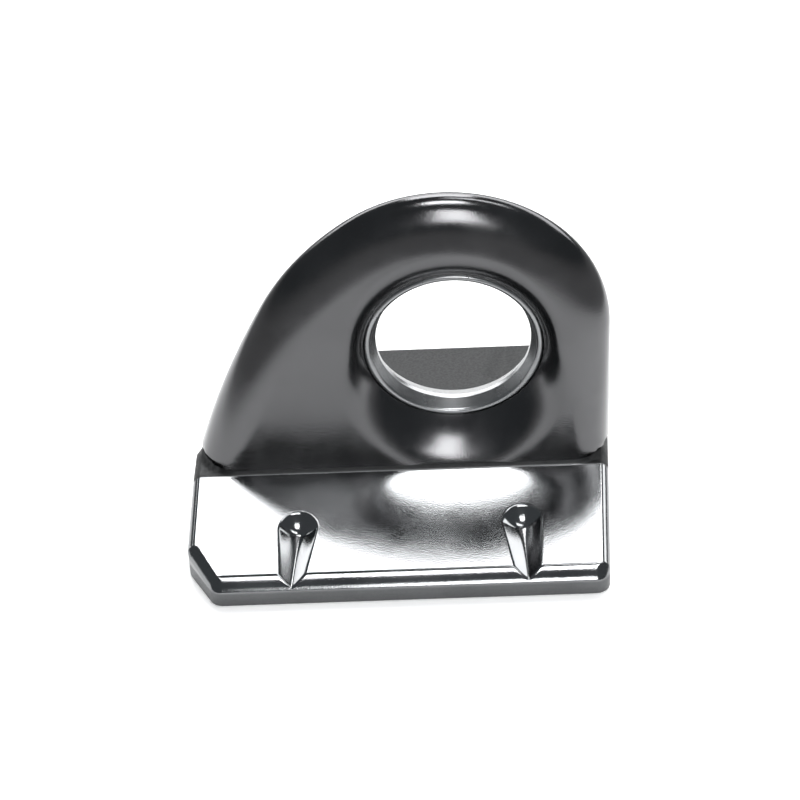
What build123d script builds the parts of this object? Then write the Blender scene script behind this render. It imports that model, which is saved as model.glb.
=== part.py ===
"""Forged eye horn on a flanged track base, a deck and rail tie-down fitting for a boat.

Every length is in millimetres. X runs along the fitting, from the low tail of the horn to its
upright side. Y runs from the front flange to the rear flange. Z is up. The origin is at the
middle of the base's footprint, on the face that it rests on.
"""
import os
from math import atan2, cos, degrees, radians, sin, sqrt, tan

from build123d import *

# ---------------------------------------------------------------- driving dimensions
# base plate
PLATE_LENGTH = 60.8
END_SKEW = 0.04
FLANGE_REACH = 19.7
FOOT_THICKNESS = 13.4
PLATE_EDGE_HEIGHT = 2.7
BEVEL_HEIGHT = 1.7
BEVEL_REACH = 1.8
FLANGE_SLOPE = 11.0
LAND_RISE = 0.5
CORNER_ROUND = 2.0
FRONT_CHAMFER = (4.1, 6.8)
REAR_CHAMFER = (9.0, 27.0)

# teardrop grooves that index the flanges on the lips of a rail
GROOVE_FRONT = ((-15.2, -16.2), (17.2, 17.8))
GROOVE_LENGTH = 12.3
GROOVE_HEAD_RADIUS = 2.75
GROOVE_EDGE_HALF_WIDTH = 1.6
GROOVE_SLOPE = 2.1
GROOVE_TIP_RADIUS = 0.15
GROOVE_OVERRUN = 1.0
GROOVE_LIFT = 2.0

# horn outline: three arcs that run tangent into one another, and a leaning upright side
ARCH_CENTRE = (7.3, 29.05)
ARCH_RADIUS = 23.5
SHOULDER_RADIUS = 42.4
SHOULDER_BEARING = 125.3
TAIL_RADIUS = 145.0
TAIL_BEARING = 152.5
UPRIGHT_LEAN = 0.8
HORN_TOP_THICKNESS = 7.2
HORN_EDGE_ROUND = 3.0

# eye
EYE_CENTRE = (8.2, 26.95)
EYE_RADIUS = 11.2
EYE_THROAT_LENGTH = 0.8
LINER_RADIUS = 13.0
LINER_LENGTH = 4.7
LINER_LIP_ARC = 1.6
LINER_LIP_ANGLE = 60.0
FLARE_ANGLE = 47.0
FLARE_RUN = 6.0

# fastening, all of it from beneath: two countersunk M5 screws and two dowel pins
SCREW_X = (-19.0, 24.2)
SCREW_RADIUS = 2.5
SCREW_CLEARANCE_RADIUS = 2.75
SCREW_LENGTH = 16.0
SCREW_HEAD_RADIUS = 5.0
SCREW_HEAD_SINK = 0.3
SCREW_POINT = 0.6
SCREW_SOCKET_FLATS = 3.0
SCREW_SOCKET_DEPTH = 2.0
TAPPED_DEPTH = 1.8
DOWEL_X = (-8.0, 17.0)
DOWEL_RADIUS = 2.0
DOWEL_LENGTH = 10.0
DOWEL_END_CHAMFER = 0.4
DOWEL_HOLE_RELIEF = 0.4

# ---------------------------------------------------------------- worked out from the above
PLATE_DEPTH = 2 * FLANGE_REACH + FOOT_THICKNESS
HALF_LENGTH = PLATE_LENGTH / 2
HALF_DEPTH = PLATE_DEPTH / 2
HALF_FOOT = FOOT_THICKNESS / 2
EDGE_TOP = PLATE_EDGE_HEIGHT + BEVEL_HEIGHT
CREASE_Z = EDGE_TOP + (FLANGE_REACH - BEVEL_REACH) * tan(radians(FLANGE_SLOPE))
JOINT_Z = CREASE_Z + LAND_RISE
HORN_TOP = ARCH_CENTRE[1] + ARCH_RADIUS
BIG = 100.0


def polar(centre, radius, bearing):
    """The point at a radius and a bearing in degrees from a centre."""
    return (centre[0] + radius * cos(radians(bearing)), centre[1] + radius * sin(radians(bearing)))


def horn_outline():
    """The closed outline of the horn seen from the front, from its foot round over the eye."""
    shoulder_centre = polar(ARCH_CENTRE, SHOULDER_RADIUS - ARCH_RADIUS, SHOULDER_BEARING + 180)
    tail_centre = polar(shoulder_centre, TAIL_RADIUS - SHOULDER_RADIUS, TAIL_BEARING + 180)
    tail_drop = tail_centre[1] - JOINT_Z
    foot_left = (tail_centre[0] - sqrt(TAIL_RADIUS ** 2 - tail_drop ** 2), JOINT_Z)
    foot_bearing = degrees(atan2(foot_left[1] - tail_centre[1], foot_left[0] - tail_centre[0]))
    upright_top = polar(ARCH_CENTRE, ARCH_RADIUS, -UPRIGHT_LEAN)
    upright_foot_x = upright_top[0] - (upright_top[1] - JOINT_Z) * tan(radians(UPRIGHT_LEAN))
    foot_right = (upright_foot_x, JOINT_Z)
    arch_mid = polar(ARCH_CENTRE, ARCH_RADIUS, (SHOULDER_BEARING - UPRIGHT_LEAN) / 2)
    arch_end = polar(ARCH_CENTRE, ARCH_RADIUS, SHOULDER_BEARING)
    shoulder_mid = polar(shoulder_centre, SHOULDER_RADIUS, (SHOULDER_BEARING + TAIL_BEARING) / 2)
    shoulder_end = polar(shoulder_centre, SHOULDER_RADIUS, TAIL_BEARING)
    tail_mid = polar(tail_centre, TAIL_RADIUS, (TAIL_BEARING + foot_bearing) / 2)
    return [
        Line(foot_left, foot_right),
        Line(foot_right, upright_top),
        ThreePointArc(upright_top, arch_mid, arch_end),
        ThreePointArc(arch_end, shoulder_mid, shoulder_end),
        ThreePointArc(shoulder_end, tail_mid, foot_left),
    ]


def vertical_cylinder(radius, bottom, top, x, y=0.0):
    """An upright cylinder between two heights."""
    blank = Cylinder(radius, top - bottom, align=(Align.CENTER, Align.CENTER, Align.MIN))
    return Pos(x, y, bottom) * blank


def vertical_cone(bottom_radius, top_radius, bottom, top, x, y=0.0):
    """An upright cone frustum between two heights."""
    blank = Cone(bottom_radius, top_radius, top - bottom, align=(Align.CENTER, Align.CENTER, Align.MIN))
    return Pos(x, y, bottom) * blank


def eye_revolve(points):
    """Turn a profile of (radius, distance along the eye's axis) points about the eye's axis."""
    with BuildPart() as turned:
        with BuildSketch(Plane.XY):
            with BuildLine():
                Polyline(*points, close=True)
            make_face()
        revolve(axis=Axis.Y)
    return Pos(EYE_CENTRE[0], 0, EYE_CENTRE[1]) * turned.part


# ---------------------------------------------------------------- base plate
def plate_plan():
    """The plate from above: a short front and a long rear lead-in at the left, ends a little out of square."""
    front_x, front_y = FRONT_CHAMFER
    rear_x, rear_y = REAR_CHAMFER
    square = [
        (-HALF_LENGTH + front_x, -HALF_DEPTH),
        (HALF_LENGTH, -HALF_DEPTH),
        (HALF_LENGTH, HALF_DEPTH),
        (-HALF_LENGTH + rear_x, HALF_DEPTH),
        (-HALF_LENGTH, HALF_DEPTH - rear_y),
        (-HALF_LENGTH, -HALF_DEPTH + front_y),
    ]
    return [(x + END_SKEW * y, y) for x, y in square]


def plate_section():
    """The plate from its end: bevelled rims and two flanges that rise to the land under the horn."""
    edges = [Line((-HALF_DEPTH, 0), (HALF_DEPTH, 0)), Line((-HALF_FOOT, CREASE_Z), (HALF_FOOT, CREASE_Z))]
    for side in (-1, 1):
        rim = side * HALF_DEPTH
        bevel_top = side * (HALF_DEPTH - BEVEL_REACH)
        edges += [
            Line((rim, 0), (rim, PLATE_EDGE_HEIGHT)),
            Line((rim, PLATE_EDGE_HEIGHT), (bevel_top, EDGE_TOP)),
            Line((bevel_top, EDGE_TOP), (side * HALF_FOOT, CREASE_Z)),
        ]
    return edges


def flange_height(reach):
    """The flange's top at a distance in from its rim."""
    return EDGE_TOP + (reach - BEVEL_REACH) * tan(radians(FLANGE_SLOPE))


def groove(head_x, rim_x, side):
    """One V-shaped groove, as a cone-shaped cutter leaves it: deep and round by the horn, shallow at the rim.

    side is -1 on the front flange and 1 on the rear one.
    """
    head_y = side * (HALF_DEPTH - GROOVE_LENGTH + GROOVE_HEAD_RADIUS)
    rim_y = side * (HALF_DEPTH + GROOVE_OVERRUN)
    head_top = flange_height(GROOVE_LENGTH - GROOVE_HEAD_RADIUS)
    rim_top = flange_height(-GROOVE_OVERRUN)
    run = Solid.make_loft(
        [
            groove_triangle(head_x, head_y, head_top, GROOVE_HEAD_RADIUS / GROOVE_SLOPE).outer_wire(),
            groove_triangle(rim_x, rim_y, rim_top, GROOVE_EDGE_HALF_WIDTH / GROOVE_SLOPE).outer_wire(),
        ],
        ruled=True,
    )
    bowl_bottom = head_top - GROOVE_HEAD_RADIUS / GROOVE_SLOPE - GROOVE_TIP_RADIUS / GROOVE_SLOPE
    bowl_top = head_top + GROOVE_LIFT
    bowl_radius = GROOVE_TIP_RADIUS + (bowl_top - bowl_bottom) * GROOVE_SLOPE
    return run + vertical_cone(GROOVE_TIP_RADIUS, bowl_radius, bowl_bottom, bowl_top, head_x, head_y)


def groove_triangle(x, y, top, depth):
    """The cutter's section across the groove at one end of its run, from the V's bottom to above the flange."""
    half_width = (depth + GROOVE_LIFT) * GROOVE_SLOPE
    with BuildSketch(Plane((x, y, top), x_dir=(1, 0, 0), z_dir=(0, -1, 0))) as sketch:
        with BuildLine():
            Polyline((0, -depth), (half_width, GROOVE_LIFT), (-half_width, GROOVE_LIFT), close=True)
        make_face()
    return sketch.sketch.face()


def make_base_plate():
    """The flanged plate with its land, bevelled rims, indexing grooves and the holes beneath."""
    with BuildPart() as plate:
        with BuildSketch(Plane.XY):
            with BuildLine():
                Polyline(*plate_plan(), close=True)
            make_face()
        extrude(amount=JOINT_Z)
        corners = plate.edges().filter_by(Axis.Z)
        fillet(corners, CORNER_ROUND)
        with BuildSketch(Plane.YZ):
            with BuildLine():
                for edge in plate_section():
                    add(edge)
            make_face()
        extrude(amount=HALF_LENGTH + 1, both=True, mode=Mode.INTERSECT)
    body = plate.part
    body += make_land()
    for side, mirror in ((-1, 1), (1, -1)):
        for head_x, rim_x in GROOVE_FRONT:
            body -= groove(mirror * head_x, mirror * rim_x, side)
    for x in SCREW_X:
        body -= vertical_cylinder(SCREW_CLEARANCE_RADIUS, -1, JOINT_Z + 1, x)
        body -= vertical_cylinder(SCREW_HEAD_RADIUS, -1, SCREW_HEAD_SINK, x)
        cone_top = SCREW_HEAD_SINK + SCREW_HEAD_RADIUS - SCREW_CLEARANCE_RADIUS
        body -= vertical_cone(SCREW_HEAD_RADIUS, SCREW_CLEARANCE_RADIUS, SCREW_HEAD_SINK, cone_top, x)
    for x in DOWEL_X:
        body -= vertical_cylinder(DOWEL_RADIUS, JOINT_Z - DOWEL_LENGTH / 2, JOINT_Z + 1, x)
    return body


def foot_plan():
    """The horn's footprint on the plate, a rounded bar, as a sketch at z = 0."""
    foot = horn_outline()[0]
    left = foot.position_at(0).X
    right = foot.position_at(1).X
    with BuildSketch() as sketch:
        with Locations(((left + right) / 2, 0)):
            RectangleRounded(right - left, FOOT_THICKNESS, HORN_EDGE_ROUND)
    return sketch.sketch


def make_land():
    """The low land that the horn stands on."""
    return extrude(foot_plan(), amount=JOINT_Z)


# ---------------------------------------------------------------- horn
def make_eye_horn():
    """The upright horn: the outline, drafted thinner to the top, with rounded edges and a flared eye."""
    with BuildPart() as horn:
        with BuildSketch(Plane.XZ):
            with BuildLine():
                for edge in horn_outline():
                    add(edge)
            make_face()
        extrude(amount=HALF_FOOT + 1, both=True)
        with BuildSketch(Plane.YZ):
            with BuildLine():
                Polyline(
                    (-HALF_FOOT, JOINT_Z), (HALF_FOOT, JOINT_Z),
                    (HORN_TOP_THICKNESS / 2, HORN_TOP), (-HORN_TOP_THICKNESS / 2, HORN_TOP), close=True,
                )
            make_face()
        extrude(amount=BIG, both=True, mode=Mode.INTERSECT)
        outer = [
            edge for edge in horn.edges()
            if edge.bounding_box().max.Z > JOINT_Z + 1 and abs(edge.center().Y) > 1
        ]
        fillet(outer, HORN_EDGE_ROUND)
    body = horn.part
    half_liner = LINER_LENGTH / 2
    flare_end = half_liner + FLARE_RUN
    flare_radius = LINER_RADIUS + FLARE_RUN * tan(radians(FLARE_ANGLE))
    body -= eye_revolve([
        (0, -flare_end), (flare_radius, -flare_end),
        (LINER_RADIUS, -half_liner), (LINER_RADIUS, half_liner),
        (flare_radius, flare_end), (0, flare_end),
    ])
    thread_top = SCREW_HEAD_SINK + SCREW_LENGTH + TAPPED_DEPTH
    for x in SCREW_X:
        body -= vertical_cylinder(SCREW_RADIUS, JOINT_Z - 1, thread_top, x)
    dowel_top = JOINT_Z + DOWEL_LENGTH / 2 + DOWEL_HOLE_RELIEF
    for x in DOWEL_X:
        body -= vertical_cylinder(DOWEL_RADIUS, JOINT_Z - 1, dowel_top, x)
    return body


# ---------------------------------------------------------------- eye liner
def make_eye_liner():
    """The hard wear ring pressed into the eye, with a rounded lip at each end."""
    half_throat = EYE_THROAT_LENGTH / 2
    half_liner = LINER_LENGTH / 2
    lip_rise = LINER_LIP_ARC * (1 - cos(radians(LINER_LIP_ANGLE)))
    lip_run = LINER_LIP_ARC * sin(radians(LINER_LIP_ANGLE))
    middle = LINER_LIP_ANGLE / 2
    mid_rise = LINER_LIP_ARC * (1 - cos(radians(middle)))
    mid_run = LINER_LIP_ARC * sin(radians(middle))
    with BuildPart() as turned:
        with BuildSketch(Plane.XY):
            with BuildLine():
                Line((EYE_RADIUS, -half_throat), (EYE_RADIUS, half_throat))
                for end in (-1, 1):
                    ThreePointArc(
                        (EYE_RADIUS, end * half_throat),
                        (EYE_RADIUS + mid_rise, end * (half_throat + mid_run)),
                        (EYE_RADIUS + lip_rise, end * (half_throat + lip_run)),
                    )
                    Line(
                        (EYE_RADIUS + lip_rise, end * (half_throat + lip_run)),
                        (LINER_RADIUS, end * half_liner),
                    )
                Line((LINER_RADIUS, -half_liner), (LINER_RADIUS, half_liner))
            make_face()
        revolve(axis=Axis.Y)
    return Pos(EYE_CENTRE[0], 0, EYE_CENTRE[1]) * turned.part


# ---------------------------------------------------------------- fastening from beneath
def make_screw(x):
    """One countersunk socket screw, head down, its thread drawn at the major diameter."""
    cone_top = SCREW_HEAD_SINK + SCREW_HEAD_RADIUS - SCREW_RADIUS
    tip = SCREW_HEAD_SINK + SCREW_LENGTH
    screw = vertical_cone(SCREW_HEAD_RADIUS, SCREW_RADIUS, SCREW_HEAD_SINK, cone_top, x)
    screw += vertical_cylinder(SCREW_RADIUS, cone_top, tip - SCREW_POINT, x)
    screw += vertical_cone(SCREW_RADIUS, SCREW_RADIUS - SCREW_POINT, tip - SCREW_POINT, tip, x)
    with BuildSketch() as hexagon:
        RegularPolygon(SCREW_SOCKET_FLATS / 2, 6, major_radius=False)
    socket = extrude(hexagon.sketch, amount=SCREW_SOCKET_DEPTH)
    return screw - Pos(x, 0, SCREW_HEAD_SINK) * socket


def make_dowel(x):
    """One hardened dowel pin, half in the plate and half in the horn."""
    bottom = JOINT_Z - DOWEL_LENGTH / 2
    pin = vertical_cylinder(DOWEL_RADIUS, bottom, bottom + DOWEL_LENGTH, x)
    ends = pin.edges().filter_by(GeomType.CIRCLE)
    return chamfer(ends, DOWEL_END_CHAMFER)


def save(name, solids):
    """Write one node, from one solid or several."""
    shape = solids[0] if len(solids) == 1 else Compound(children=solids)
    shape.label = name
    export_step(shape, os.path.join("parts", name + ".step"))


def main():
    os.makedirs("parts", exist_ok=True)
    save("base_plate", [make_base_plate()])
    save("eye_horn", [make_eye_horn()])
    save("eye_liner", [make_eye_liner()])
    save("horn_screws", [make_screw(x) for x in SCREW_X])
    save("horn_dowels", [make_dowel(x) for x in DOWEL_X])
    print("joint plane z", round(JOINT_Z, 3), "plate depth", PLATE_DEPTH, "horn top", HORN_TOP)


main()
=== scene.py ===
"""Looks of the eye horn fitting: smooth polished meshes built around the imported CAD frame.

Lengths are in millimetres in the sums and in metres in Blender. X runs along the fitting, Y from the
front flange to the rear flange, Z up. The frame gives every driving place.
"""
import math

import bmesh
import bpy
import numpy as np
from mathutils import Matrix, Vector


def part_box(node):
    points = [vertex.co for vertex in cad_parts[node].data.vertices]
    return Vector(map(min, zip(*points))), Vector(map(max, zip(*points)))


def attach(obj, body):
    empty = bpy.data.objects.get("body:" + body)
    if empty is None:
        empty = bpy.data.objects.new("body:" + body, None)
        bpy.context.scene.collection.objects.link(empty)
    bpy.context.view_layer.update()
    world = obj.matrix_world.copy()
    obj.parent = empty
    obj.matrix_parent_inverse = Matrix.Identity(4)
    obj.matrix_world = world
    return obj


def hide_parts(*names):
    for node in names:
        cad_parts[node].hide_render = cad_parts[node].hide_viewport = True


MM = 0.001

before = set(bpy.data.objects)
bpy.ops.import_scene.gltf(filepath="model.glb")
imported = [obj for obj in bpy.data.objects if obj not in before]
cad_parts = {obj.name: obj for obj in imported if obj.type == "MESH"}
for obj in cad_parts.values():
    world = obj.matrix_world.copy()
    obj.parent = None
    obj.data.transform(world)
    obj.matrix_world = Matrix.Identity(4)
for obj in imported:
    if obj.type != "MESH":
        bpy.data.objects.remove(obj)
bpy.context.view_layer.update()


def node_box(node):
    """A CAD node's lowest and highest corners, in millimetres."""
    low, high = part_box(node)
    return np.array(low) / MM, np.array(high) / MM


PLATE_HIGH = node_box("base_plate")[1]
HORN_HIGH = node_box("eye_horn")[1]
LINER_LOW, LINER_HIGH = node_box("eye_liner")

JOINT_Z = PLATE_HIGH[2]
HALF_DEPTH = PLATE_HIGH[1]
HALF_FOOT = HORN_HIGH[1]
EYE_X = (LINER_LOW[0] + LINER_HIGH[0]) / 2
EYE_Z = (LINER_LOW[2] + LINER_HIGH[2]) / 2
LINER_RADIUS = (LINER_HIGH[0] - LINER_LOW[0]) / 2
HALF_LINER = LINER_HIGH[1]

# ---------------------------------------------------------------- the horn's shape
EYE_RADIUS = 11.2
ARCH_RADIUS = 23.5
ARCH_X = HORN_HIGH[0] - ARCH_RADIUS
ARCH_Z = HORN_HIGH[2] - ARCH_RADIUS
SHOULDER_RADIUS = 42.4
SHOULDER_BEARING = math.radians(125.3)
TAIL_RADIUS = 145.0
TAIL_BEARING = math.radians(152.5)
UPRIGHT_LEAN = math.radians(0.8)
DRAFT = 2.8
FOOT_DRAFT = 0.55
FOOT_DRAFT_SHARE = 0.12
EDGE_RUN = 5.6
EDGE_RUN_GAIN = 2.6
FLARE_RUN = 2.2
FLARE_RUN_ABOVE = 2.6
FLARE_RUN_BELOW = 6.0
FLARE_TURN_BLEND = 0.03
FLARE_POWER = 2.2


def polar(centre, radius, bearing):
    return np.array([centre[0] + radius * math.cos(bearing), centre[1] + radius * math.sin(bearing)])


ARCH_CENTRE = np.array([ARCH_X, ARCH_Z])
SHOULDER_CENTRE = polar(ARCH_CENTRE, ARCH_RADIUS - SHOULDER_RADIUS, SHOULDER_BEARING)
TAIL_CENTRE = polar(SHOULDER_CENTRE, SHOULDER_RADIUS - TAIL_RADIUS, TAIL_BEARING)
EYE = np.array([EYE_X, EYE_Z])
UPRIGHT_LENGTH = 40.0
UPRIGHT_TOP = polar(ARCH_CENTRE, ARCH_RADIUS, -UPRIGHT_LEAN)
UPRIGHT_DOWN = np.array([-math.sin(UPRIGHT_LEAN), -math.cos(UPRIGHT_LEAN)])
UPRIGHT_END = UPRIGHT_TOP + UPRIGHT_DOWN * UPRIGHT_LENGTH

# centre, radius, first and last bearing of each arc of the outline
OUTLINE_ARCS = [
    (ARCH_CENTRE, ARCH_RADIUS, -UPRIGHT_LEAN, SHOULDER_BEARING),
    (SHOULDER_CENTRE, SHOULDER_RADIUS, SHOULDER_BEARING, TAIL_BEARING),
    (TAIL_CENTRE, TAIL_RADIUS, TAIL_BEARING, math.radians(210)),
]


def edge_distance(x, z):
    """How far points in the horn lie inside its free outline, exactly, for arrays of points."""
    best = np.full(np.shape(x), 1e9)
    for centre, radius, first, last in OUTLINE_ARCS:
        dx, dz = x - centre[0], z - centre[1]
        bearing = np.mod(np.arctan2(dz, dx) + math.pi / 2, 2 * math.pi) - math.pi / 2
        held = np.clip(bearing, first, last)
        nearest_x = centre[0] + radius * np.cos(held)
        nearest_z = centre[1] + radius * np.sin(held)
        best = np.minimum(best, np.hypot(x - nearest_x, z - nearest_z))
    span = UPRIGHT_END - UPRIGHT_TOP
    along = ((x - UPRIGHT_TOP[0]) * span[0] + (z - UPRIGHT_TOP[1]) * span[1]) / (span @ span)
    along = np.clip(along, 0, 1)
    nearest_x = UPRIGHT_TOP[0] + along * span[0]
    nearest_z = UPRIGHT_TOP[1] + along * span[1]
    return np.minimum(best, np.hypot(x - nearest_x, z - nearest_z))


def outline_reach(bearing):
    """The distance from the eye's centre to the horn's outline or its foot, along a bearing."""
    direction = np.array([math.cos(bearing), math.sin(bearing)])
    hits = []
    if direction[1] < 0:
        hits.append((EYE_Z - JOINT_Z) / -direction[1])
    for centre, radius, first, last in OUTLINE_ARCS:
        offset = EYE - centre
        b = offset @ direction
        root = b * b - offset @ offset + radius * radius
        reach = -b + math.sqrt(root)
        point = EYE + direction * reach - centre
        at = (math.atan2(point[1], point[0]) + math.pi / 2) % (2 * math.pi) - math.pi / 2
        if first - 1e-9 <= at <= last + 1e-9:
            hits.append(reach)
    normal = np.array([math.cos(UPRIGHT_LEAN), -math.sin(UPRIGHT_LEAN)])
    if direction @ normal > 1e-9:
        reach = ((UPRIGHT_TOP - EYE) @ normal) / (direction @ normal)
        point = EYE + direction * reach
        if point[1] <= UPRIGHT_TOP[1] + 1e-9:
            hits.append(reach)
    return min(hits)


def quarter_round(distance, run):
    """0 at the start of a rounded edge and 1 past its run, along a quarter of an ellipse."""
    left = np.clip(1 - distance / run, 0, 1)
    return np.sqrt(np.clip(1 - left * left, 0, 1))


def face_half_thickness(z):
    """Half the horn's thickness between its flat faces: it drafts quickly at the foot, then slowly."""
    rise = np.clip((z - JOINT_Z) / (HORN_HIGH[2] - JOINT_Z), 0, 1)
    return HALF_FOOT - DRAFT * rise - FOOT_DRAFT * (1 - np.exp(-rise / FOOT_DRAFT_SHARE))


def horn_half_thickness(x, z):
    """Half the horn's thickness at any point: the drafted faces, the rounded edge and the eye's flare."""
    flat = face_half_thickness(z)
    rise = np.clip((z - JOINT_Z) / (HORN_HIGH[2] - JOINT_Z), 0, 1)
    edge = quarter_round(edge_distance(x, z), EDGE_RUN + EDGE_RUN_GAIN * rise)
    radius = np.hypot(x - EYE_X, z - EYE_Z)
    up = (z - EYE_Z) / np.maximum(radius, 1e-6)
    above = 0.5 * (up + np.sqrt(up * up + FLARE_TURN_BLEND))
    below = above - up
    flare_run = FLARE_RUN + FLARE_RUN_ABOVE * above + FLARE_RUN_BELOW * below
    left = np.clip(1 - (radius - LINER_RADIUS) / flare_run, 0, 1)
    flare = 1 - left ** FLARE_POWER
    return (HALF_LINER + (flat - HALF_LINER) * flare) * edge


def mesh_object(name, verts, faces, sharp_degrees=40.0):
    """A smooth-shaded object from vertices in millimetres, with creases kept sharp."""
    mesh = bpy.data.meshes.new(name)
    mesh.from_pydata((np.asarray(verts) * MM).tolist(), [], [list(map(int, f)) for f in faces])
    mesh.validate()
    work = bmesh.new()
    work.from_mesh(mesh)
    bmesh.ops.remove_doubles(work, verts=work.verts, dist=1e-7)
    bmesh.ops.recalc_face_normals(work, faces=work.faces)
    limit = math.radians(sharp_degrees)
    for face in work.faces:
        face.smooth = True
    for edge in work.edges:
        edge.smooth = edge.calc_face_angle(0.0) < limit
    work.to_mesh(mesh)
    work.free()
    piece = bpy.data.objects.new(name, mesh)
    bpy.context.scene.collection.objects.link(piece)
    return piece


def loop_grid(rows, columns, closed_rows, closed_columns):
    """Quads that join a grid of vertices, numbered row by row."""
    faces = []
    last_row = rows if closed_rows else rows - 1
    last_column = columns if closed_columns else columns - 1
    for i in range(last_row):
        for j in range(last_column):
            k = (i + 1) % rows
            m = (j + 1) % columns
            faces.append((i * columns + j, k * columns + j, k * columns + m, i * columns + m))
    return faces


def make_horn():
    """The horn as rings of points round the eye: out over the front face and back over the rear face."""
    corners = []
    foot_drop = EYE_Z - JOINT_Z
    tail_foot_x = TAIL_CENTRE[0] - math.sqrt(TAIL_RADIUS ** 2 - (TAIL_CENTRE[1] - JOINT_Z) ** 2)
    upright_foot_x = UPRIGHT_TOP[0] + UPRIGHT_DOWN[0] / -UPRIGHT_DOWN[1] * (UPRIGHT_TOP[1] - JOINT_Z)
    for x in (upright_foot_x, tail_foot_x):
        corners.append(math.atan2(-foot_drop, x - EYE_X) % (2 * math.pi))
    first, second = corners[0] - 2 * math.pi, corners[1]
    free = np.linspace(first, second, 301)[:-1]
    foot = np.linspace(second, first + 2 * math.pi, 101)[:-1]
    bearings = np.concatenate([free, foot])
    steps = 84
    weights = (1 - np.cos(np.linspace(0, math.pi, steps))) / 2
    rings = []
    for bearing in bearings:
        reach = outline_reach(bearing)
        radius = LINER_RADIUS + (reach - LINER_RADIUS) * weights
        x = EYE_X + radius * math.cos(bearing)
        z = EYE_Z + radius * math.sin(bearing)
        half = horn_half_thickness(x, z)
        front = np.stack([x, -half, z], 1)
        rear = np.stack([x, half, z], 1)[::-1]
        rings.append(np.concatenate([front, rear]))
    verts = np.concatenate(rings)
    faces = loop_grid(len(bearings), 2 * steps, True, True)
    return mesh_object("horn_body", verts, faces, 50.0)


def turned_object(name, profile, segments, sharp_degrees=40.0):
    """A ring turned about the eye's axis from a closed profile of (radius, distance along Y)."""
    profile = np.asarray(profile)
    verts = []
    for bearing in np.linspace(0, 2 * math.pi, segments, endpoint=False):
        x = EYE_X + profile[:, 0] * math.cos(bearing)
        z = EYE_Z + profile[:, 0] * math.sin(bearing)
        verts.append(np.stack([x, profile[:, 1], z], 1))
    faces = loop_grid(segments, len(profile), True, True)
    return mesh_object(name, np.concatenate(verts), faces, sharp_degrees)


def arc_points(centre, radius, first, last, count):
    """Points along an arc, bearings in degrees."""
    bearings = np.radians(np.linspace(first, last, count))
    return [(centre[0] + radius * math.cos(b), centre[1] + radius * math.sin(b)) for b in bearings]


def make_liner():
    """The pressed-in wear ring: a short throat, a cone-shaped mouth and a rolled bead at each end."""
    throat = 0.35
    ease = 0.2
    bead = 0.6
    outside = LINER_RADIUS - 0.02
    outside_end = HALF_LINER - 1.4
    bead_centre = (outside - bead, HALF_LINER - bead)
    cone_bearing = 142.0
    half = [(EYE_RADIUS, throat * t) for t in (0.0, 0.5)]
    half += arc_points((EYE_RADIUS + ease, throat), ease, 180, cone_bearing, 10)
    half += arc_points(bead_centre, bead, cone_bearing + 8.0, 0.0, 16)
    half.append((outside, outside_end))
    front = [(r, -y) for r, y in half[1:]][::-1]
    return turned_object("eye_wear_ring", front + half, 288)


# ---------------------------------------------------------------- the plate's shape
# the rear grooves, side 1, are drawn at half the front ones' depth
UPRIGHT_HEIGHT = 2.7
BEVEL_HEIGHT = 1.7
BEVEL_REACH = 1.8
END_BEVEL_REACH = 0.9
BEVEL_ROUNDNESS = 1.3
EDGE_TOP = UPRIGHT_HEIGHT + BEVEL_HEIGHT
FLANGE_REACH = HALF_DEPTH - HALF_FOOT
FLANGE_SLOPE = math.tan(math.radians(11.0))
RIM_BEVEL_DROP = BEVEL_HEIGHT - BEVEL_REACH * FLANGE_SLOPE
END_BEVEL_DROP = 0.9
CORNER_EXTRA_DROP = 2.4
LAND_FILLET = 0.55
CORNER_ROUND = 2.0
HALF_LENGTH = 30.4
END_SKEW = 0.04
FRONT_CHAMFER = (4.1, 6.8)
REAR_CHAMFER = (9.0, 27.0)
GROOVES = ((-15.2, -16.2), (17.2, 17.8))
GROOVE_LENGTH = 12.3
GROOVE_HEAD_RADIUS = 2.7
GROOVE_RIM_HALF_WIDTH = 1.6
GROOVE_HEAD_DEPTH = 1.5
GROOVE_RIM_DEPTH = 0.95
GROOVE_SHARE = {-1: 1.0, 1: 0.5}
GROOVE_BOTTOM_ROUND = 0.12
CREASE_BLEND = 0.2
FLOOR_ROUND = 0.3
FLOOR_ROUND_STEPS = 4
FOOT_END_ROUND = 5.4


def plan_polygon():
    """The plate's sharp-cornered plan, counter-clockwise from its front left, set in by the corner round."""
    square = [
        (-HALF_LENGTH + FRONT_CHAMFER[0], -HALF_DEPTH),
        (HALF_LENGTH, -HALF_DEPTH),
        (HALF_LENGTH, HALF_DEPTH),
        (-HALF_LENGTH + REAR_CHAMFER[0], HALF_DEPTH),
        (-HALF_LENGTH, HALF_DEPTH - REAR_CHAMFER[1]),
        (-HALF_LENGTH, -HALF_DEPTH + FRONT_CHAMFER[1]),
    ]
    return np.array([(x + END_SKEW * y, y) for x, y in square])


def inset_polygon(points, amount):
    """A convex polygon with every side moved in by an amount."""
    count = len(points)
    lines = []
    for i in range(count):
        a, b = points[i], points[(i + 1) % count]
        direction = (b - a) / np.linalg.norm(b - a)
        inward = np.array([-direction[1], direction[0]])
        lines.append((a + inward * amount, direction))
    corners = []
    for i in range(count):
        (p, d), (q, e) = lines[i - 1], lines[i]
        t = ((q - p)[0] * e[1] - (q - p)[1] * e[0]) / (d[0] * e[1] - d[1] * e[0])
        corners.append(p + d * t)
    return np.array(corners)


PLAN_CORE = inset_polygon(plan_polygon(), CORNER_ROUND)


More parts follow.
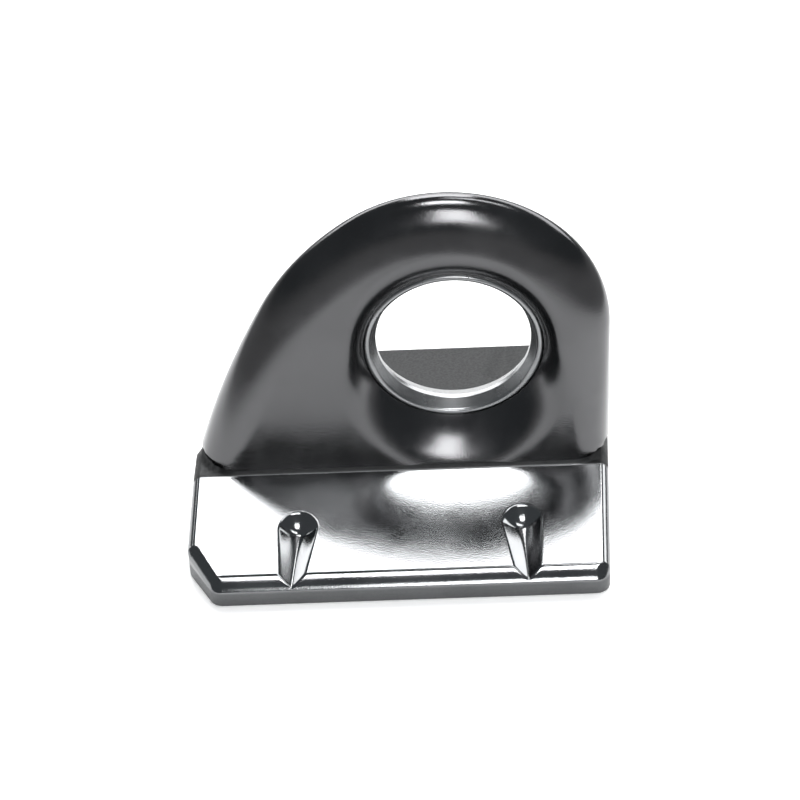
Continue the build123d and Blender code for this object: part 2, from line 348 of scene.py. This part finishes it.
def plan_depth_and_turn(x, y):
    """How far points lie inside the plate's rounded plan, and how much the nearest rim faces along Y."""
    inside = np.full(np.shape(x), 1e9)
    nearest = np.full(np.shape(x), 1e9)
    turn = np.zeros(np.shape(x))
    count = len(PLAN_CORE)
    for i in range(count):
        a, b = PLAN_CORE[i], PLAN_CORE[(i + 1) % count]
        span = b - a
        length = np.linalg.norm(span)
        inward = np.array([-span[1], span[0]]) / length
        signed = (x - a[0]) * inward[0] + (y - a[1]) * inward[1]
        inside = np.minimum(inside, signed)
        along = np.clip(((x - a[0]) * span[0] + (y - a[1]) * span[1]) / length ** 2, 0, 1)
        across = y - a[1] - along * span[1]
        gap = np.hypot(x - a[0] - along * span[0], across)
        turn = np.where(gap < nearest, np.abs(across) / np.maximum(gap, 1e-9), turn)
        nearest = np.minimum(nearest, gap)
    return np.where(inside > 0, inside + CORNER_ROUND, CORNER_ROUND - nearest), turn


def plan_edge(y, side):
    """Where the rounded plan ends in x at a given y, on the left (-1) or right (1) side."""
    low, high = 0.0, HALF_LENGTH + 2.0
    for _ in range(48):
        middle = (low + high) / 2
        depth, _ = plan_depth_and_turn(np.array([side * middle]), np.array([y]))
        if depth[0] > -1e-7:
            low = middle
        else:
            high = middle
    return side * low


def groove_floor(x, y, plane):
    """The height of the grooves' V surfaces over the plan, far above the plate away from them."""
    floor = np.full(np.shape(x), 1e3)
    for side, turn in ((-1, 1), (1, -1)):
        for head_x, rim_x in GROOVES:
            head_x, rim_x = head_x * turn, rim_x * turn
            reach = HALF_DEPTH - side * y
            head_reach = GROOVE_LENGTH - GROOVE_HEAD_RADIUS
            t = np.clip(reach / head_reach, 0, 1)
            axis_x = rim_x + (head_x - rim_x) * t
            depth = (GROOVE_RIM_DEPTH + (GROOVE_HEAD_DEPTH - GROOVE_RIM_DEPTH) * t) * GROOVE_SHARE[side]
            width = GROOVE_RIM_HALF_WIDTH + (GROOVE_HEAD_RADIUS - GROOVE_RIM_HALF_WIDTH) * t
            past = np.maximum(reach - head_reach, 0)
            away = np.sqrt((x - axis_x) ** 2 + past ** 2 + GROOVE_BOTTOM_ROUND ** 2) - GROOVE_BOTTOM_ROUND
            bowl = 1.0 + 0.7 * t ** 3
            surface = plane - depth + depth * (away / width) ** bowl
            floor = np.where(side * y > 0, np.minimum(floor, surface), floor)
    return floor


def foot_gap(x, y):
    """How far points of the plan lie outside the horn's foot, negative inside it."""
    left, right = foot_ends()
    core_half = HALF_FOOT - FOOT_END_ROUND
    middle = (left + right) / 2
    dx = np.abs(x - middle) - ((right - left) / 2 - FOOT_END_ROUND)
    dy = np.abs(y) - core_half
    outside = np.hypot(np.maximum(dx, 0), np.maximum(dy, 0)) + np.minimum(np.maximum(dx, dy), 0)
    return outside - FOOT_END_ROUND


def foot_ends():
    """The x of the two ends of the horn's foot."""
    left = TAIL_CENTRE[0] - math.sqrt(TAIL_RADIUS ** 2 - (TAIL_CENTRE[1] - JOINT_Z) ** 2)
    right = UPRIGHT_TOP[0] - (UPRIGHT_TOP[1] - JOINT_Z) * math.tan(UPRIGHT_LEAN)
    return left, right


def soft_min(a, b, blend):
    """The smaller of two heights, with the crease between them rounded."""
    h = np.clip(0.5 + 0.5 * (b - a) / blend, 0, 1)
    return b + (a - b) * h - blend * h * (1 - h)


def plate_top(x, y):
    """The height of the plate's upper surface at points of its plan."""
    reach = HALF_DEPTH - np.abs(y)
    plane = EDGE_TOP + (np.minimum(reach, FLANGE_REACH) - BEVEL_REACH) * FLANGE_SLOPE
    depth, turn = plan_depth_and_turn(x, y)
    bevel_reach = END_BEVEL_REACH + (BEVEL_REACH - END_BEVEL_REACH) * turn
    along = np.clip(depth / bevel_reach, 0, 1)
    fall = 1 - (1 - (1 - along) ** BEVEL_ROUNDNESS) ** (1 / BEVEL_ROUNDNESS)
    drop = END_BEVEL_DROP + (RIM_BEVEL_DROP - END_BEVEL_DROP) * turn + CORNER_EXTRA_DROP * turn * (1 - turn)
    top = soft_min(plane - drop * fall, groove_floor(x, y, plane), CREASE_BLEND)
    gap = np.maximum(foot_gap(x, y), 0)
    rise = np.clip(LAND_FILLET - gap, 0, LAND_FILLET)
    fillet = LAND_FILLET - np.sqrt(LAND_FILLET ** 2 - rise ** 2)
    return np.minimum(top + fillet * along, np.maximum(JOINT_Z, top))


def graded(stops):
    """Grid lines from (start, end, count, clustering) stretches, joined end to end."""
    lines = []
    for start, end, count, cluster in stops:
        t = np.linspace(0, 1, count, endpoint=False)
        if cluster == "start":
            t = 1 - np.cos(t * math.pi / 2)
        if cluster == "end":
            t = np.sin(t * math.pi / 2)
        lines.append(start + (end - start) * t)
    lines.append([stops[-1][1]])
    return np.concatenate(lines)


def make_plate():
    """The plate: a graded grid for its upper surface, upright rims, and a flat underside."""
    ys_front = graded([
        (-HALF_DEPTH, -HALF_DEPTH + 2.0, 18, "start"),
        (-HALF_DEPTH + 2.0, -HALF_DEPTH + 14.0, 66, None),
        (-HALF_DEPTH + 14.0, -HALF_FOOT - 1.8, 8, None),
        (-HALF_FOOT - 1.8, -HALF_FOOT + 0.4, 24, None),
        (-HALF_FOOT + 0.4, 0.0, 8, None),
    ])
    ys = np.concatenate([ys_front, -ys_front[::-1][1:]])
    groove_lines = [
        (-20.0, -10.6, 74, None),
        (-10.6, 10.6, 12, None),
        (10.6, 21.4, 84, None),
    ]
    core = graded([(-24.0, -20.0, 8, None)] + groove_lines + [(21.4, 24.0, 6, None)])
    left_weights = graded([(0.0, 1.0, 30, "start")])
    rows = []
    for y in ys:
        left, right = plan_edge(y, -1), plan_edge(y, 1)
        left_part = left + (core[0] - left) * left_weights
        right_part = right + (core[-1] - right) * left_weights
        rows.append(np.concatenate([left_part[:-1], core, right_part[::-1][1:]]))
    xs = np.array(rows)
    yy = np.repeat(ys[:, None], xs.shape[1], axis=1)
    zz = plate_top(xs, yy)
    rows_count, columns = xs.shape
    verts = np.stack([xs, yy, zz], 2).reshape(-1, 3)
    faces = loop_grid(rows_count, columns, False, False)
    border = list(range(columns))
    border += [i * columns + columns - 1 for i in range(1, rows_count)]
    border += [(rows_count - 1) * columns + j for j in range(columns - 2, -1, -1)]
    border += [i * columns for i in range(rows_count - 2, 0, -1)]
    loop = verts[border]
    levels = []
    for step in range(FLOOR_ROUND_STEPS + 1):
        turn = step / FLOOR_ROUND_STEPS * math.pi / 2
        levels.append((FLOOR_ROUND * (1 - math.sin(turn)), FLOOR_ROUND * (1 - math.cos(turn))))
    previous = list(border)
    all_verts = list(verts)
    for height, inset in levels:
        ring = []
        for x, y, _ in loop:
            away = np.array([x, y]) / math.hypot(x, y)
            ring.append(len(all_verts))
            all_verts.append(np.array([x - away[0] * inset, y - away[1] * inset, height]))
        count = len(ring)
        for i in range(count):
            k = (i + 1) % count
            faces.append((previous[i], previous[k], ring[k], ring[i]))
        previous = ring
    faces.append(tuple(previous))
    return mesh_object("plate_body", np.array(all_verts), faces, 38.0)


# ---------------------------------------------------------------- materials
PATCH_SHADE = 0.9
# painted shade: the share of the colour kept where the rear flange, the crease at the horn's front foot and
# the rims' bottom band are darkened
PAINTED_SHADE_SHARE = 0.13
RIM_MASK_LOW = 2.2
RIM_MASK_HIGH = 2.9
# the painted pool of light on the floor: its centre in Y and its half width and depth, in metres
FLOOR_CENTRE_Y = 0.034
FLOOR_HALF_WIDTH = 0.085
FLOOR_HALF_DEPTH = 0.108


def node(tree, kind, **inputs):
    """A shader node with its inputs set by name, an underscore standing for a space."""
    made = tree.nodes.new(kind)
    for name, value in inputs.items():
        made.inputs[name.replace("_", " ")].default_value = value
    return made


def new_material(name):
    material = bpy.data.materials.new(name)
    material.use_nodes = True
    tree = material.node_tree
    tree.nodes.clear()
    shader = tree.nodes.new("ShaderNodeBsdfPrincipled")
    out = tree.nodes.new("ShaderNodeOutputMaterial")
    tree.links.new(shader.outputs["BSDF"], out.inputs["Surface"])
    return material, tree, shader


def noise(tree, coords, wavelength_mm, detail):
    """Noise in the object's own coordinates with its blotches a given number of millimetres across."""
    made = node(tree, "ShaderNodeTexNoise", Scale=1.0 / (wavelength_mm * MM), Detail=detail)
    tree.links.new(coords, made.inputs["Vector"])
    return made.outputs["Fac"]


def ramp(tree, value, low, high, low_out, high_out):
    """A value remapped from one range to another and held at its ends."""
    made = node(tree, "ShaderNodeMapRange", From_Min=low, From_Max=high, To_Min=low_out, To_Max=high_out)
    made.interpolation_type = "SMOOTHSTEP"
    tree.links.new(value, made.inputs["Value"])
    return made.outputs["Result"]


def polished_metal(name, colour, roughness_low, roughness_high, peel_mm, peel_slope, matte_and_painted_shade=None):
    """Polished cast stainless: fine orange peel, faint polishing grain and patchy sharpness.

    The last argument, if given, is a function that makes two 0-to-1 masks: where the surface was never
    polished, and where painted shade darkens its colour as well.
    """
    material, tree, shader = new_material(name)
    coords = tree.nodes.new("ShaderNodeTexCoord").outputs["Object"]
    shader.inputs["Metallic"].default_value = 1.0
    patches = noise(tree, coords, 7.0, 3.0)
    tint = tree.nodes.new("ShaderNodeMix")
    tint.data_type = "RGBA"
    tint.inputs["A"].default_value = [c * PATCH_SHADE for c in colour] + [1.0]
    tint.inputs["B"].default_value = list(colour) + [1.0]
    tree.links.new(ramp(tree, patches, 0.35, 0.65, 0.0, 1.0), tint.inputs["Factor"])
    colour_out = tint.outputs["Result"]
    rough_out = ramp(tree, patches, 0.3, 0.7, roughness_low, roughness_high)
    peel = noise(tree, coords, peel_mm, 2.0)
    grain = noise(tree, coords, 0.16, 1.0)
    heights = tree.nodes.new("ShaderNodeMath")
    heights.operation = "MULTIPLY_ADD"
    heights.inputs[1].default_value = 0.35
    tree.links.new(grain, heights.inputs[0])
    tree.links.new(peel, heights.inputs[2])
    bump = node(tree, "ShaderNodeBump", Strength=1.0, Distance=peel_slope * peel_mm * MM)
    tree.links.new(heights.outputs[0], bump.inputs["Height"])
    tree.links.new(bump.outputs["Normal"], shader.inputs["Normal"])
    if matte_and_painted_shade is not None:
        mask, painted_shade = matte_and_painted_shade(tree, coords)
        fine = noise(tree, coords, 0.35, 2.0)
        rough_mix = tree.nodes.new("ShaderNodeMix")
        tree.links.new(mask, rough_mix.inputs["Factor"])
        tree.links.new(rough_out, rough_mix.inputs["A"])
        tree.links.new(ramp(tree, fine, 0.3, 0.7, 0.42, 0.55), rough_mix.inputs["B"])
        rough_out = rough_mix.outputs["Result"]
        # painted shade: the colour darkened where the second mask says
        painted_shade_mix = tree.nodes.new("ShaderNodeMix")
        painted_shade_mix.data_type = "RGBA"
        painted_shade_mix.inputs["B"].default_value = [c * PAINTED_SHADE_SHARE for c in colour] + [1.0]
        tree.links.new(painted_shade, painted_shade_mix.inputs["Factor"])
        tree.links.new(colour_out, painted_shade_mix.inputs["A"])
        colour_out = painted_shade_mix.outputs["Result"]
    tree.links.new(colour_out, shader.inputs["Base Color"])
    tree.links.new(rough_out, shader.inputs["Roughness"])
    return material


def unpolished_and_painted_shade_zones(tree, coords):
    """Two masks: unpolished metal, and painted shade that darkens the colour, both from the horn's front
    foot back and on the rims.
    """
    split = tree.nodes.new("ShaderNodeSeparateXYZ")
    tree.links.new(coords, split.inputs[0])
    # from the horn's front foot back: unpolished, and painted shade that darkens the rear flange and the
    # crease at the foot
    rear = ramp(tree, split.outputs["Y"], -(HALF_FOOT + 0.6) * MM, -(HALF_FOOT + 0.2) * MM, 0.0, 1.0)
    rim = ramp(tree, split.outputs["Z"], RIM_MASK_LOW * MM, RIM_MASK_HIGH * MM, 0.85, 0.0)
    # painted shade along the bottom of the rims, next to the floor
    rim_painted_shade = ramp(tree, split.outputs["Z"], RIM_MASK_LOW * MM, RIM_MASK_HIGH * MM, 0.5, 0.0)
    either = tree.nodes.new("ShaderNodeMath")
    either.operation = "MAXIMUM"
    tree.links.new(rear, either.inputs[0])
    tree.links.new(rim, either.inputs[1])
    # the painted shade mask, the larger of the rear and rim masks
    painted_shade = tree.nodes.new("ShaderNodeMath")
    painted_shade.operation = "MAXIMUM"
    tree.links.new(rear, painted_shade.inputs[0])
    tree.links.new(rim_painted_shade, painted_shade.inputs[1])
    return either.outputs[0], painted_shade.outputs[0]


def floor_material():
    """A matt floor, pale and faintly glowing round the object and dark grey further out: a painted pool of
    light, and a painted glow that lifts the shadows.
    """
    material, tree, shader = new_material("pale_floor")
    shader.inputs["Roughness"].default_value = 0.9
    shader.inputs["Specular IOR Level"].default_value = 0.1
    coords = tree.nodes.new("ShaderNodeTexCoord").outputs["Object"]
    shift = tree.nodes.new("ShaderNodeMapping")
    shift.inputs["Location"].default_value = (0.0, -FLOOR_CENTRE_Y / FLOOR_HALF_DEPTH, 0.0)
    shift.inputs["Scale"].default_value = (1 / FLOOR_HALF_WIDTH, 1 / FLOOR_HALF_DEPTH, 0.0)
    tree.links.new(coords, shift.inputs["Vector"])
    squares = tree.nodes.new("ShaderNodeVectorMath")
    squares.operation = "MULTIPLY"
    tree.links.new(shift.outputs["Vector"], squares.inputs[0])
    tree.links.new(shift.outputs["Vector"], squares.inputs[1])
    reach = tree.nodes.new("ShaderNodeVectorMath")
    reach.operation = "LENGTH"
    tree.links.new(squares.outputs["Vector"], reach.inputs[0])
    # painted pool of light: pale round the object and dark grey further out, in place of light falling off
    light_pool_mix = tree.nodes.new("ShaderNodeMix")
    light_pool_mix.data_type = "RGBA"
    light_pool_mix.inputs["A"].default_value = (0.96, 0.96, 0.96, 1.0)
    # painted light: the whole floor glows faintly, lifting the shadows
    shader.inputs["Emission Color"].default_value = (1.0, 1.0, 1.0, 1.0)
    shader.inputs["Emission Strength"].default_value = 0.2
    light_pool_mix.inputs["B"].default_value = (0.16, 0.16, 0.165, 1.0)
    tree.links.new(ramp(tree, reach.outputs["Value"], 1.0, 1.45, 0.0, 1.0), light_pool_mix.inputs["Factor"])
    tree.links.new(light_pool_mix.outputs["Result"], shader.inputs["Base Color"])
    return material


# ---------------------------------------------------------------- stage, light and camera
def make_world():
    """A dim, slightly blue studio all round."""
    world = bpy.data.worlds.new("studio")
    bpy.context.scene.world = world
    world.use_nodes = True
    background = world.node_tree.nodes["Background"]
    background.inputs["Color"].default_value = (0.86, 0.94, 1.0, 1.0)
    background.inputs["Strength"].default_value = 0.17


def soft_panel(name, place, target, width, height, radiance):
    """A rectangular soft light at a place in metres, aimed at a target, unseen by the camera itself."""
    data = bpy.data.lights.new(name, "AREA")
    data.shape = "RECTANGLE"
    data.size = width
    data.size_y = height
    data.energy = radiance * math.pi * width * height
    light = bpy.data.objects.new(name, data)
    bpy.context.scene.collection.objects.link(light)
    light.location = place
    light.rotation_euler = (Vector(target) - Vector(place)).to_track_quat("-Z", "Y").to_euler()
    light.visible_camera = False
    return light


def make_lights():
    """Panels high behind, above at the right and high in front, a window behind and one in front."""
    soft_panel("panel_behind", (-0.005, 0.235, 0.4), (-0.005, -0.015, 0.005), 0.26, 0.24, 8.0)
    soft_panel("panel_in_front", (0.015, -0.2, 0.41), (0.01, 0.0, 0.03), 0.16, 0.09, 15.0)
    soft_panel("strip_above", (0.14, 0.0, 0.42), (0.03, 0.0, 0.02), 0.06, 0.24, 7.0)
    soft_panel("window_behind", (0.1, 0.55, 0.31), (0.02, 0.0, 0.04), 2.0, 0.34, 4.0)
    soft_panel("window_front", (0.07, -0.75, 0.33), (0.0, 0.0, 0.03), 0.2, 0.3, 9.0)


def make_floor():
    size = 3.0
    verts = [(-size, -size, 0), (size, -size, 0), (size, size, 0), (-size, size, 0)]
    mesh = bpy.data.meshes.new("floor")
    mesh.from_pydata(verts, [], [(0, 1, 2, 3)])
    floor = bpy.data.objects.new("floor", mesh)
    bpy.context.scene.collection.objects.link(floor)
    mesh.materials.append(floor_material())


def make_camera():
    """A long lens from in front and above, a little to the right and rolled slightly."""
    elevation = math.radians(40.367)
    azimuth = math.radians(1.654)
    roll = math.radians(-3.13)
    distance = 0.4785
    aim = Vector((0.00004, 0.0, 0.01529))
    away = Vector((
        math.sin(azimuth) * math.cos(elevation),
        -math.cos(azimuth) * math.cos(elevation),
        math.sin(elevation),
    ))
    right = Vector((0, 0, 1)).cross(away).normalized()
    up = away.cross(right)
    rolled_right = right * math.cos(roll) + up * math.sin(roll)
    rolled_up = up * math.cos(roll) - right * math.sin(roll)
    data = bpy.data.cameras.new("camera")
    data.sensor_width = 36.0
    data.lens = 147.07
    data.clip_start = 0.01
    camera = bpy.data.objects.new("camera", data)
    bpy.context.scene.collection.objects.link(camera)
    turn = Matrix((rolled_right, rolled_up, away)).transposed().to_4x4()
    camera.matrix_world = Matrix.Translation(aim + away * distance) @ turn
    bpy.context.scene.camera = camera


# ---------------------------------------------------------------- put together
plate_metal = polished_metal(
    "plate_polish", (0.24, 0.245, 0.25), 0.09, 0.15, 0.2, 0.04, unpolished_and_painted_shade_zones)
horn_metal = polished_metal("horn_polish", (0.11, 0.11, 0.113), 0.14, 0.22, 0.2, 0.05)
liner_metal = polished_metal("liner_polish", (0.3, 0.305, 0.31), 0.22, 0.28, 0.3, 0.03)
steel = polished_metal("turned_steel", (0.3, 0.3, 0.31), 0.28, 0.4, 0.3, 0.02)

plate = make_plate()
horn = make_horn()
liner = make_liner()
for piece, material, cad_node, slot in (
    (plate, plate_metal, "base_plate", "plate_metal"),
    (horn, horn_metal, "eye_horn", "horn_metal"),
    (liner, liner_metal, "eye_liner", "liner_metal"),
):
    piece.data.materials.append(material)
    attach(piece, "root")
    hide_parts(cad_node)
for name in ("horn_screws", "horn_dowels"):
    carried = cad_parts[name]
    if not carried.data.materials:
        carried.data.materials.append(steel)
    for index in range(len(carried.data.materials)):
        carried.data.materials[index] = steel

make_world()
make_lights()
make_floor()
make_camera()
bpy.context.scene.view_settings.view_transform = "Standard"
